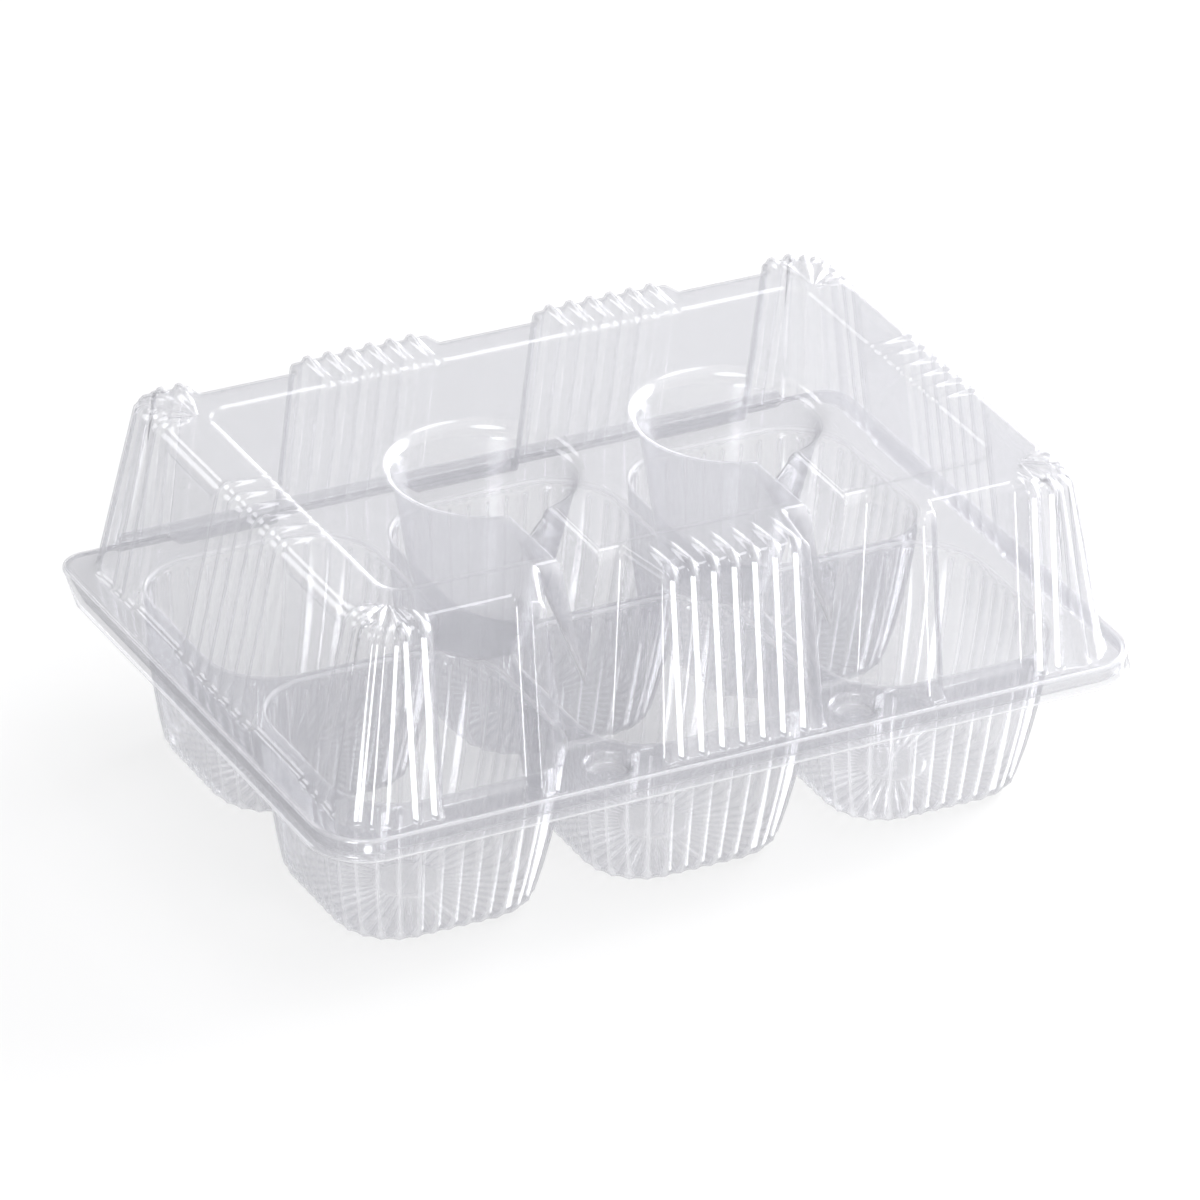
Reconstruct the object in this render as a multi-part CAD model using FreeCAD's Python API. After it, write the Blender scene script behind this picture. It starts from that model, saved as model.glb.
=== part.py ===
import FreeCAD, Part
import math
import os

from FreeCAD import Vector

# Clear thermoformed egg carton for six eggs: a tray of six cups and a domed lid, formed as one
# sheet and joined along the long back edge by a narrow folding web.  Units are millimetres.
# +Z is up, -Y is the front (the latch side), +X is to the right.  The origin lies in the resting
# plane under the cups, at the middle of the plan.  The lid is closed.

# Sheet and overall plan
SHEET = 0.4
RIM_HALF_X = 86.0
RIM_HALF_Y = 59.0
RIM_CORNER = 11.0
RIM_GAP = 0.05
NEST_GAP = 0.4

# Tray
CUP_DEPTH = 34.0
CUP_X = (-52.0, 0.0, 52.0)
CUP_Y = (-24.8, 24.8)
CUP_MOUTH_HALF = 24.0
CUP_WALL_END_HALF = 20.6
CUP_CORNER = 13.0
CUP_FOOT_CORNER = 12.0
CUP_FOOT_RADIUS = 3.5
TRAY_SKIRT = 3.0

# Lid
DOME_HEIGHT = 36.1
DOME_BASE = {"front": -57.0, "back": 57.0, "side": 81.4}
DOME_TOP = {"front": -49.5, "back": 52.5, "side": 75.0}
DOME_CORNER_BASE = 9.0
DOME_CORNER_TOP = 5.5
SHOULDER = 2.4
LID_SKIRT = 3.9
PANEL_RECESS_LONG = 4.4
PANEL_RECESS_SIDE = 1.7
TOP_STEP = 0.6
TOP_STEP_HALF_X = 64.3
TOP_STEP_BACK = 40.5
TOP_STEP_FRONT = -34.5
TOP_STEP_CORNER = 5.0

# Ribs pressed into the lid walls
RIB_PROUD = 0.9
RIB_ROOT_HALF = 1.25
RIB_CREST_HALF = 0.55
FRONT_RIB_PITCH = 4.3
BACK_RIB_PITCH = 4.4
SIDE_RIB_PITCH = 4.7
RIBS_PER_GROUP = 6
SIDE_GROUP_Y = 1.0
COLUMN_RIBS_X = (64.0, 67.8)
COLUMN_RIBS_Y = (38.4, 42.2)

# Plan positions of the bays, panels and notches along the lid walls, for the right half
PANEL_EDGE = 1.0
BAY_CORNER_X = {"base": 17.0, "top": 15.6}
NOTCH_INNER_X = {"base": 21.0, "top": 17.5}
NOTCH_OUTER_X = {"base": 31.0, "top": 34.5}
OUTER_BAY_X = (39.5, 42.5)
PANEL_END_X = 61.5
SIDE_GROUP_HALF = 14.5
SIDE_PANEL_END_Y = 33.5
BACK_PANEL_X = 41.0
BACK_MIDDLE_PANEL_X = 11.0

# Conical posts that hold the lid up between the eggs
POST_X = 26.0
POST_MOUTH_R = 17.3
POST_FOOT_R = 10.3

# Front notches and the grooves that run from them to the posts
NOTCH_BACK_BASE = -43.7
NOTCH_BACK_TOP = -37.0
GROOVE_HALF = 4.0
GROOVE_LOW = 11.2
GROOVE_HIGH = 28.0
GROOVE_FRONT_Y = -41.6

# Snap studs in the rim, lid stud inside tray socket
STUD_Y = -51.6
STUD_R = 4.0
STUD_DEPTH = 2.2
STUD_CLEARANCE = 0.3
STUD_TAPER = 0.9

# How far a cutting solid runs past the sheet it cuts, and facets in a cup's foot and the shoulder
OVERSHOOT = 1.0
FOOT_STEPS = 4
SHOULDER_STEPS = 2

# Folding web along the back edge
WEB_HALF_X = 72.0
WEB_DROP = 1.7
WEB_CLEARANCE = 0.05

RIM_Z = CUP_DEPTH
LID_Z = RIM_Z + RIM_GAP
CREASE_Y = RIM_HALF_Y - SHEET - WEB_CLEARANCE
BACK_EDGE_Y = CREASE_Y - WEB_CLEARANCE
POSTS = [(-POST_X, 0), (POST_X, 0)]
STUDS = [(-POST_X, STUD_Y), (POST_X, STUD_Y)]


def mix(low, high, t):
    """Value a fraction t of the way from low to high."""
    return low + (high - low) * t


def rounded_wire(corners, z):
    """Closed wire at height z through corners (x, y, radius)."""
    ends = []
    count = len(corners)
    for i, (x, y, radius) in enumerate(corners):
        corner = Vector(x, y, z)
        before = Vector(corners[i - 1][0], corners[i - 1][1], z) - corner
        after = Vector(corners[(i + 1) % count][0], corners[(i + 1) % count][1], z) - corner
        if radius <= 0:
            ends.append((corner, None, corner))
            continue
        half = before.getAngle(after) / 2
        before.normalize()
        after.normalize()
        middle = (before + after).normalize()
        setback = radius / math.tan(half)
        reach = radius / math.sin(half) - radius
        ends.append((corner + before * setback, corner + middle * reach, corner + after * setback))
    edges = []
    for i, (start, through, end) in enumerate(ends):
        if through is not None:
            edges.append(Part.Arc(start, through, end).toShape())
        edges.append(Part.makeLine(end, ends[(i + 1) % count][0]))
    return Part.Wire(edges)


def inset(corners, distance):
    """Corners of an anticlockwise outline moved inwards by distance, miters kept."""
    moved = []
    count = len(corners)
    for i, (x, y, radius) in enumerate(corners):
        ax, ay, _ = corners[i - 1]
        bx, by, _ = corners[(i + 1) % count]
        ux, uy = x - ax, y - ay
        vx, vy = bx - x, by - y
        ul, vl = math.hypot(ux, uy), math.hypot(vx, vy)
        ux, uy, vx, vy = ux / ul, uy / ul, vx / vl, vy / vl
        turn = ux * vy - uy * vx
        spread = 1 + ux * vx + uy * vy
        nx, ny = -(uy + vy) / spread, (ux + vx) / spread
        if radius > 0:
            radius = max(radius - math.copysign(distance, turn), 0.05)
        moved.append((x + nx * distance, y + ny * distance, radius))
    return moved


def box_corners(half_x, half_y, radius):
    """Corners of a rounded rectangle about the origin, anticlockwise."""
    return [(-half_x, -half_y, radius), (half_x, -half_y, radius),
            (half_x, half_y, radius), (-half_x, half_y, radius)]


def prism(corners, z_low, z_high):
    """Straight-sided solid on an outline."""
    face = Part.Face(rounded_wire(corners, z_low))
    return face.extrude(Vector(0, 0, z_high - z_low))


def stack(sections):
    """Solid through outlines given as (corners, z), with straight walls between them."""
    return Part.makeLoft([rounded_wire(corners, z) for corners, z in sections], True, True)


def rim_corners(margin, back=RIM_HALF_Y):
    """Rim outline inset by margin, its back edge straight at y = back."""
    front = -(RIM_HALF_Y - margin)
    side = RIM_HALF_X - margin
    radius = RIM_CORNER - margin
    return [(-side, front, radius), (side, front, radius), (side, back, radius), (-side, back, radius)]


def skirt(margin, z_low, z_high, y_end):
    """Turned-down band along the front and sides of a rim, open at the back."""
    band = prism(rim_corners(margin), z_low, z_high)
    band = band.cut(prism(rim_corners(margin + SHEET), z_low - OVERSHOOT, z_high + OVERSHOOT))
    behind = Part.makeBox(2 * (RIM_HALF_X + OVERSHOOT), RIM_HALF_Y, z_high - z_low + 2 * OVERSHOOT)
    behind.translate(Vector(-RIM_HALF_X - OVERSHOOT, y_end, z_low - OVERSHOOT))
    return band.cut(behind)


def cup(wall):
    """Outer (wall = 0) or inner (wall = SHEET) form of one cup, mouth up at the rim plane."""
    mouth = box_corners(CUP_MOUTH_HALF - wall, CUP_MOUTH_HALF - wall, CUP_CORNER)
    end = CUP_WALL_END_HALF - wall
    sections = [(mouth, RIM_Z + (OVERSHOOT if wall else 0))]
    for i in range(FOOT_STEPS + 1):
        angle = math.pi / 2 * i / FOOT_STEPS
        half = end - CUP_FOOT_RADIUS * (1 - math.cos(angle))
        z = CUP_FOOT_RADIUS * (1 - math.sin(angle)) + wall
        sections.append((box_corners(half, half, CUP_FOOT_CORNER), z))
    return stack(sections)


def dimple(radius, depth, top):
    """Round dimple pressed down from a rim plane at height top, slightly tapered."""
    return Part.makeCone(radius * STUD_TAPER, radius, depth, Vector(0, 0, top - depth))


def largest_solid(shape):
    """The formed sheet itself, without the hair-thin slivers a boolean can leave on a curved corner."""
    return max(shape.Solids, key=lambda solid: solid.Volume)


def at_each(shape, places):
    """Copies of a shape moved to each (x, y)."""
    return [shape.translated(Vector(x, y, 0)) for x, y in places]


def back_lip(z_low):
    """Narrow turned edge of a rim along the hinge, WEB_DROP tall."""
    lip = Part.makeBox(2 * WEB_HALF_X, SHEET, WEB_DROP)
    lip.translate(Vector(-WEB_HALF_X, BACK_EDGE_Y - SHEET, z_low))
    return lip


def tray():
    """Lower half: flat rim, six cups, two snap sockets, turned-down skirt and back lip."""
    margin = SHEET + NEST_GAP
    cups = [(x, y) for x in CUP_X for y in CUP_Y]
    radius = STUD_R + STUD_CLEARANCE
    depth = STUD_DEPTH + STUD_CLEARANCE
    rim = prism(rim_corners(margin, BACK_EDGE_Y), RIM_Z - SHEET, RIM_Z)
    pieces = at_each(cup(0), cups)
    pieces += at_each(dimple(radius + SHEET, depth + SHEET, RIM_Z), STUDS)
    pieces.append(skirt(margin, RIM_Z - TRAY_SKIRT, RIM_Z, RIM_HALF_Y - RIM_CORNER))
    pieces.append(back_lip(RIM_Z - WEB_DROP))
    hollows = at_each(cup(SHEET), cups) + at_each(dimple(radius, depth, RIM_Z), STUDS)
    return largest_solid(rim.fuse(pieces).cut(hollows))


def ribs_along_x(centres, y, outward, heading):
    """Rib corners on a wall at y; outward is the sign of the outward normal, heading the travel."""
    corners = []
    for c in centres:
        crest = y + outward * RIB_PROUD
        corners.append((c - heading * RIB_ROOT_HALF, y, 0))
        corners.append((c - heading * RIB_CREST_HALF, crest, 0))
        corners.append((c + heading * RIB_CREST_HALF, crest, 0))
        corners.append((c + heading * RIB_ROOT_HALF, y, 0))
    return corners


def ribs_along_y(centres, x):
    """Rib corners on the right-hand wall at x, travelling towards the back."""
    return [(dx, dy, 0) for dy, dx, _ in ribs_along_x(centres, x, 1, 1)]


def panel_along_y(face, panel, y_start, y_end):
    """Corners of a recessed panel on the right-hand wall, from y_start to y_end."""
    return [(face, y_start - PANEL_EDGE, 0), (panel, y_start, 0),
            (panel, y_end, 0), (face, y_end + PANEL_EDGE, 0)]


def group(centre, pitch, count):
    """Centres of count ribs spaced by pitch about centre."""
    return [centre + (i - (count - 1) / 2) * pitch for i in range(count)]


def dome_corners(t, shrink=0):
    """Outline of the lid wall at height fraction t, anticlockwise from the middle of the front.

    shrink moves every wall inwards, for the rounded shoulder under the top."""
    front = mix(DOME_BASE["front"], DOME_TOP["front"], t) + shrink
    back = mix(DOME_BASE["back"], DOME_TOP["back"], t) - shrink
    side = mix(DOME_BASE["side"], DOME_TOP["side"], t) - shrink
    front_face = front + RIB_PROUD
    back_face = back - RIB_PROUD
    side_face = side - RIB_PROUD
    front_panel = front + PANEL_RECESS_LONG
    back_panel = back - PANEL_RECESS_LONG
    side_panel = side - PANEL_RECESS_SIDE
    notch_back = mix(NOTCH_BACK_BASE, NOTCH_BACK_TOP, t) + shrink
    flare = shrink / 2
    corner = mix(DOME_CORNER_BASE, DOME_CORNER_TOP, t) - shrink

    group_half = SIDE_GROUP_HALF + PANEL_EDGE

    def between(span):
        return mix(span["base"], span["top"], t)

    half = [(RIB_CREST_HALF, front, 0), (RIB_ROOT_HALF, front_face, 0)]
    half += ribs_along_x(group(2 * FRONT_RIB_PITCH, FRONT_RIB_PITCH, 3), front_face, -1, 1)
    half += [(between(BAY_CORNER_X) - flare, front, 0)]
    half += [(between(NOTCH_INNER_X) - flare, notch_back, 0), (between(NOTCH_OUTER_X) + flare, notch_back, 0)]
    half += [(OUTER_BAY_X[0] + flare, front, 0), (OUTER_BAY_X[1], front, 0)]
    half += [(OUTER_BAY_X[1] + PANEL_EDGE, front_panel, 0), (PANEL_END_X, front_panel, 0)]
    half += [(PANEL_END_X + PANEL_EDGE, front_face, 0)]
    half += ribs_along_x(COLUMN_RIBS_X, front_face, -1, 1)
    half += [(side, front, corner)]
    half += ribs_along_y([-y for y in reversed(COLUMN_RIBS_Y)], side_face)
    half += panel_along_y(side_face, side_panel, -SIDE_PANEL_END_Y, SIDE_GROUP_Y - group_half)
    half += ribs_along_y(group(SIDE_GROUP_Y, SIDE_RIB_PITCH, RIBS_PER_GROUP), side_face)
    half += panel_along_y(side_face, side_panel, SIDE_GROUP_Y + group_half, SIDE_PANEL_END_Y)
    half += ribs_along_y(COLUMN_RIBS_Y, side_face)
    half += [(side, back, corner)]
    half += ribs_along_x(reversed(COLUMN_RIBS_X), back_face, 1, -1)
    half += [(PANEL_END_X + PANEL_EDGE, back_face, 0), (PANEL_END_X, back_panel, 0)]
    half += [(BACK_PANEL_X, back_panel, 0), (BACK_PANEL_X - PANEL_EDGE, back_face, 0)]
    half += ribs_along_x(reversed(group(POST_X, BACK_RIB_PITCH, RIBS_PER_GROUP)), back_face, 1, -1)
    half += [(BACK_MIDDLE_PANEL_X + PANEL_EDGE, back_face, 0), (BACK_MIDDLE_PANEL_X, back_panel, 0)]
    return half + [(-x, y, radius) for x, y, radius in reversed(half)]


def dome(wall):
    """Outer (wall = 0) or inner (wall = SHEET) form of the lid above the rim."""
    base = LID_Z - (OVERSHOOT if wall else 0)
    top = LID_Z + DOME_HEIGHT - wall
    spring = 1 - SHOULDER / DOME_HEIGHT
    sections = [(inset(dome_corners(0), wall), base)]
    for i in range(SHOULDER_STEPS + 1):
        angle = math.pi / 2 * i / SHOULDER_STEPS
        shrink = SHOULDER * (1 - math.cos(angle))
        z = top - SHOULDER * (1 - math.sin(angle))
        sections.append((inset(dome_corners(spring, shrink), wall), z))
    return stack(sections)


def post(wall):
    """Room taken out of the dome by one conical post, mouth up."""
    taper = (POST_MOUTH_R - POST_FOOT_R) / DOME_HEIGHT
    height = DOME_HEIGHT + OVERSHOOT
    foot = LID_Z + SHEET - wall
    return Part.makeCone(POST_FOOT_R + wall, POST_FOOT_R + taper * height + wall, height, Vector(0, 0, foot))


def groove(wall):
    """Wedge that leads from the back of a front notch up to the mouth of a post."""
    top = LID_Z + DOME_HEIGHT + OVERSHOOT
    drop = wall / math.sin(math.atan2(GROOVE_HALF, DOME_HEIGHT - GROOVE_LOW))
    rise = (GROOVE_HIGH - GROOVE_LOW) / (-POST_MOUTH_R - GROOVE_FRONT_Y)
    wires = []
    for y in (DOME_BASE["front"], -POST_FOOT_R):
        low = LID_Z + GROOVE_LOW + rise * (y - GROOVE_FRONT_Y) - drop
        half = GROOVE_HALF + wall
        points = [Vector(-half, y, top), Vector(half, y, top), Vector(0, y, low), Vector(-half, y, top)]
        wires.append(Part.makePolygon(points))
    return Part.makeLoft(wires, True, True)


def top_step(wall):
    """Shallow raised frame line on the top: the middle of the top sits lower than its border."""
    left, right, radius = -TOP_STEP_HALF_X, TOP_STEP_HALF_X, TOP_STEP_CORNER
    corners = [(left, TOP_STEP_FRONT, radius), (right, TOP_STEP_FRONT, radius),
               (right, TOP_STEP_BACK, radius), (left, TOP_STEP_BACK, radius)]
    top = LID_Z + DOME_HEIGHT
    return prism(inset(corners, -wall), top - TOP_STEP - wall, top + OVERSHOOT)


def lid_form(wall):
    """Outer or inner form of the dome with its top step, grooves and posts taken out."""
    tools = [top_step(wall)]
    tools += at_each(groove(wall), POSTS)
    tools += at_each(post(wall), POSTS)
    return dome(wall).cut(tools)


def lid():
    """Upper half: ribbed dome, two posts, front notches, rim, skirt, snap studs and back lip."""
    rim_top = LID_Z + SHEET
    rim = prism(rim_corners(0, BACK_EDGE_Y), LID_Z, rim_top)
    shell = rim.fuse(lid_form(0)).cut(lid_form(SHEET))
    pieces = at_each(dimple(STUD_R, STUD_DEPTH + SHEET, rim_top), STUDS)
    pieces.append(skirt(0, LID_Z - LID_SKIRT, rim_top, RIM_HALF_Y - RIM_CORNER))
    pieces.append(back_lip(LID_Z))
    hollows = at_each(dimple(STUD_R - SHEET, STUD_DEPTH, rim_top), STUDS)
    return largest_solid(shell.fuse(pieces).cut(hollows))


def hinge_web():
    """Narrow strip between the two crease lines, upright behind the rims when the lid is shut."""
    low = RIM_Z - WEB_DROP
    height = 2 * WEB_DROP + RIM_GAP
    web = Part.makeBox(2 * WEB_HALF_X, SHEET, height)
    web.translate(Vector(-WEB_HALF_X, RIM_HALF_Y - SHEET, low))
    return web


os.makedirs("parts", exist_ok=True)
for name, shape in (("tray", tray()), ("hinge_web", hinge_web()), ("lid", lid())):
    print(name, len(shape.Solids), shape.isValid(), round(shape.Volume, 1), shape.BoundBox)
    shape.exportStep("parts/" + name + ".step")
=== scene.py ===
import math
from collections import namedtuple

import bmesh
import bpy
import numpy as np
from mathutils import Matrix, Vector
from mathutils.geometry import delaunay_2d_cdt


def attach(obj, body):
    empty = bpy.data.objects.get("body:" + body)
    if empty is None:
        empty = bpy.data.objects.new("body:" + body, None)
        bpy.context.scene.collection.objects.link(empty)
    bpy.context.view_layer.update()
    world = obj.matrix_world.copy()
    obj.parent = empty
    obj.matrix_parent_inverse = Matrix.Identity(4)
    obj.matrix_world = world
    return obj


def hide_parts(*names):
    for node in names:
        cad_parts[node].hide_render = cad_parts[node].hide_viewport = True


# Looks of a clear thermoformed carton for six eggs: one sheet for the tray, one for the lid and a
# narrow web between their two creases.  Lengths are millimetres until a mesh is made; x, y and z
# are those of the part: origin in the resting plane, -y the latch side, lid closed.

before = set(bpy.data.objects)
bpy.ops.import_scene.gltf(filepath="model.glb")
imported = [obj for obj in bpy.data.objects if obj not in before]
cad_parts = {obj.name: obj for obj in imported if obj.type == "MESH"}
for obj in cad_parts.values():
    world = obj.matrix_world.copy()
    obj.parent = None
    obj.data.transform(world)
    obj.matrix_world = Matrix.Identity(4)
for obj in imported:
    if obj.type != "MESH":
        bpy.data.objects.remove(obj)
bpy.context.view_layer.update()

MM = 0.001

# Shared with the part
SHEET = 0.4
RIM_HALF_X = 86.0
RIM_HALF_Y = 59.0
RIM_CORNER = 11.0
RIM_GAP = 0.05
CUP_DEPTH = 34.0
CUP_X = (-52.0, 0.0, 52.0)
CUP_Y = (-24.8, 24.8)
CUP_MOUTH_HALF = 24.0
CUP_WALL_END_HALF = 20.6
CUP_CORNER = 13.0
CUP_FOOT_RADIUS = 3.5
TRAY_SKIRT = 3.0
DOME_HEIGHT = 36.1
DOME_BASE = {"front": -57.0, "back": 57.0, "side": 81.4}
DOME_TOP = {"front": -49.5, "back": 52.5, "side": 75.0}
DOME_CORNER_BASE = 9.0
DOME_CORNER_TOP = 5.5
SHOULDER = 2.4
LID_SKIRT = 3.9
PANEL_RECESS_LONG = 4.4
PANEL_RECESS_SIDE = 1.7
TOP_STEP = 0.6
TOP_STEP_HALF_X = 64.3
TOP_STEP_BACK = 40.5
TOP_STEP_FRONT = -34.5
TOP_STEP_CORNER = 5.0
RIB_PROUD = 0.9
FRONT_RIB_PITCH = 4.3
BACK_RIB_PITCH = 4.4
SIDE_RIB_PITCH = 4.7
RIBS_PER_GROUP = 6
SIDE_GROUP_Y = 1.0
COLUMN_RIBS_X = (64.0, 67.8)
COLUMN_RIBS_Y = (38.4, 42.2)
POST_X = 26.0
POST_MOUTH_R = 17.3
POST_FOOT_R = 10.3
NOTCH_BACK_BASE = -43.7
NOTCH_BACK_TOP = -37.0
GROOVE_HALF = 4.0
GROOVE_LOW = 11.2
GROOVE_HIGH = 28.0
STUD_Y = -51.6
STUD_R = 4.0
STUD_DEPTH = 2.2
STUD_CLEARANCE = 0.3
WEB_HALF_X = 72.0
WEB_DROP = 1.7
BACK_EDGE_Y = 58.5
RIM_Z = CUP_DEPTH
LID_Z = RIM_Z + RIM_GAP
FLANGE_Z = LID_Z + SHEET
TOP_Z = LID_Z + DOME_HEIGHT

# Everything below is shape that only the looks carry.  The seen sheets are a little thinner than
# the part's, so that nested sheets stay clear of each other.
SHEET_LOOK = 0.35
NEST_MARGIN = 0.8
WELD = 0.012
TINY = 1e-6

# Plan of the lid wall, right half: where bays, notches, panels and rib groups begin and end.  The
# ribs of the middle bay are numbered from its middle.
FRONT_RIBS = (0, 1, -1, 2, -2, 3, -3)
BAY_CORNER_X = {"base": 17.0, "top": 15.6}
NOTCH_INNER_X = {"base": 21.0, "top": 17.5}
NOTCH_OUTER_X = {"base": 31.0, "top": 34.5}
OUTER_BAY_X = (39.6, 42.5)
FRONT_PANEL_X = 43.6
PANEL_END_X = 61.5
COLUMN_EDGE_X = 62.4
BACK_PANEL_X = 41.2
BACK_GROUP_X = (11.8, 40.2)
BACK_MIDDLE_PANEL_X = 10.8
SIDE_PANEL_END_Y = 33.6
SIDE_GROUP_HALF = 14.8
SIDE_SLOPE = 1.2

# Its bends, and how far the corners of the bays stand in front of the ribs' roots
BAY_BEND = 1.3
BAY_CORNER_PROUD = 0.5
OUTER_BAY_BENDS = (1.2, 0.6)
OUTER_BAY_PROUD = (0.6, 0.3)
WALL_BEND = 0.7
SIDE_PANEL_BEND = 0.5
COLUMN_BEND = 0.2
BEND_STEPS = 4
BEND_REACH = 0.47
DOME_CORNER_SHRINK = 0.6
CORNER_FLUTES = 4
CORNER_SAMPLES = 24
CORNER_LIFT = 0.6

# Ribs, fillets and the sloping ledges over the side panels
RIB_HALF = 1.35
RIB_PROFILE = (-1.0, -0.72, -0.45, -0.2, 0.0, 0.2, 0.45, 0.72, 1.0)
BASE_FILLET = 1.0
GROOVE_FILLET = 1.3
MOUTH_FILLET = 3.2
FOOT_FILLET = 1.4
EDGE_FILLET = 0.7
FILLET_TURNS = (0, 30, 60, 90)
RIBS_FULL_TURN = 60
SHOULDER_TURNS = (22.5, 45, 67.5, 90)
FLAT_RING = 0.5
LEDGE_TOP = 2.9
LEDGE_FOOT = 4.7
POST_SAMPLES = 72
GROOVE_STEPS = (0.0, 0.02, 0.06, 0.2, 0.5, 0.8, 0.94, 0.98, 1.0)

# Marks, fans and the step in the top of the lid.  Each mark runs from the first place to the second.
FRONT_MARK_Y = (-48.4, -37.4)
BACK_MARK_Y = (51.0, 39.5)
SIDE_MARK_X = (74.0, 64.5)
COLUMN_MARK_X = (74.0, 68.5)
COLUMN_FRONT_MARK_Y = (-46.82, -41.32)
COLUMN_BACK_MARK_Y = (50.5, 45.0)
COLUMN_MARK_LEAN = 0.5
COLUMN_MARK_TURN = 0.97
MARK_FADE = 0.8
MARK_STOPS = (0.14, 0.28, 0.42, 0.58, 0.74, 0.88, 1.0)
FAN_CENTRE = (66.0, 38.0)
FAN_RADIUS = 10.4
FAN_FROM = -35
FAN_TO = 125
FAN_PITCH = 26
FAN_LIFT = 0.75
FAN_START = 0.5
FAN_RISE = 3.0
FAN_OVERRUN = 1.5
FAN_FALL = 2.5
FAN_SIDE_FADE = 20
FAN_RINGS = (0.6, 2, 3.5, 5, 6.5, 8, 9.4, 10.8, 12)
STEP_WIDTH = 2.2
STEP_LINES = (-1.2, -0.7, -0.25, 0.25, 0.7, 1.2)
STEP_SPACING = 1.6
CLEAR_OF_EDGE = 0.28

# Rims: the skirt runs out along the sides and is low at the back, and the web takes its place
LIP_FLARE = 0.55
SKIRT_END_Y = 46.0
SKIRT_FADE = 7.0
BACK_FALL = 0.9
HINGE_FADE = 1.5
RIM_CORNER_STEPS = 16
FRONT_STOPS = (-40, 0, 40)
SIDE_STOPS = (30, 40, 44, SKIRT_END_Y)
BACK_STOPS = (WEB_HALF_X + 1, WEB_HALF_X, 40, 0, -40, -WEB_HALF_X, -WEB_HALF_X - 1)
DIMPLE_SAMPLES = 32

# Rows down a skirt: (share of its flare, share of its depth)
SKIRT_ROWS = ((0.0, 0.5), (0.0, 0.84), (0.3, 0.93), (1.0, 1.0))

# Cups: a rounded mouth, a fluted wall that curves inwards, a fluted foot and a plain raised disc
FLUTES = 40
FLUTE_DEPTH = 0.34
FLUTE_PROFILE = (1.0, 0.2, -0.25, -0.25, 0.2)
CUP_WALL_CURVE = 1.6
CUP_FOOT_CORNER = 11.5
CUP_FOOT_SHRINK = 0.6
FOOT_FLUTE_SHARE = 0.75
CUP_FLOOR_Z = 0.85
CUP_DISC_R = 6.8
DISC_RAISE = 0.5
DISC_ROWS = ((CUP_DISC_R - 0.35, 0.35), (CUP_DISC_R - 1.0, DISC_RAISE), (3.0, DISC_RAISE))

# Rows of a cup's mouth: (outwards, growth of the corner, depth); and of its wall: (depth, share of flutes)
CUP_MOUTH_ROWS = ((0.55 + FLAT_RING, 0.6, 0.0), (0.55, 0.2, 0.0), (0.18, 0.0, 0.2), (0.0, 0.0, 0.6))
CUP_WALL_ROWS = ((1.7, 0.0), (2.3, 0.9), (3.2, 1.0), (7.5, 1.0), (12.0, 1.0), (16.5, 1.0), (21.0, 1.0),
                 (25.5, 1.0))

# Folding web: (outwards, share of the height), a bead along each crease
WEB_PROFILE = ((0.0, 0.0), (-0.08, 0.05), (-0.08, 0.14), (-0.02, 0.24), (0.0, 0.5), (-0.02, 0.76),
               (-0.08, 0.86), (-0.08, 0.95), (0.0, 1.0))
WEB_SAMPLES = 49


def mix(low, high, t):
    """Value a fraction t of the way from low to high."""
    return low + (high - low) * t


def smooth(t):
    """0 to 1 with level ends."""
    t = min(max(t, 0.0), 1.0)
    return t * t * (3 - 2 * t)


def hump(t):
    """Height of a rounded rib across its width, t from -1 to 1."""
    return 0.5 * (1 + math.cos(math.pi * t)) if abs(t) < 1 else 0.0


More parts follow.
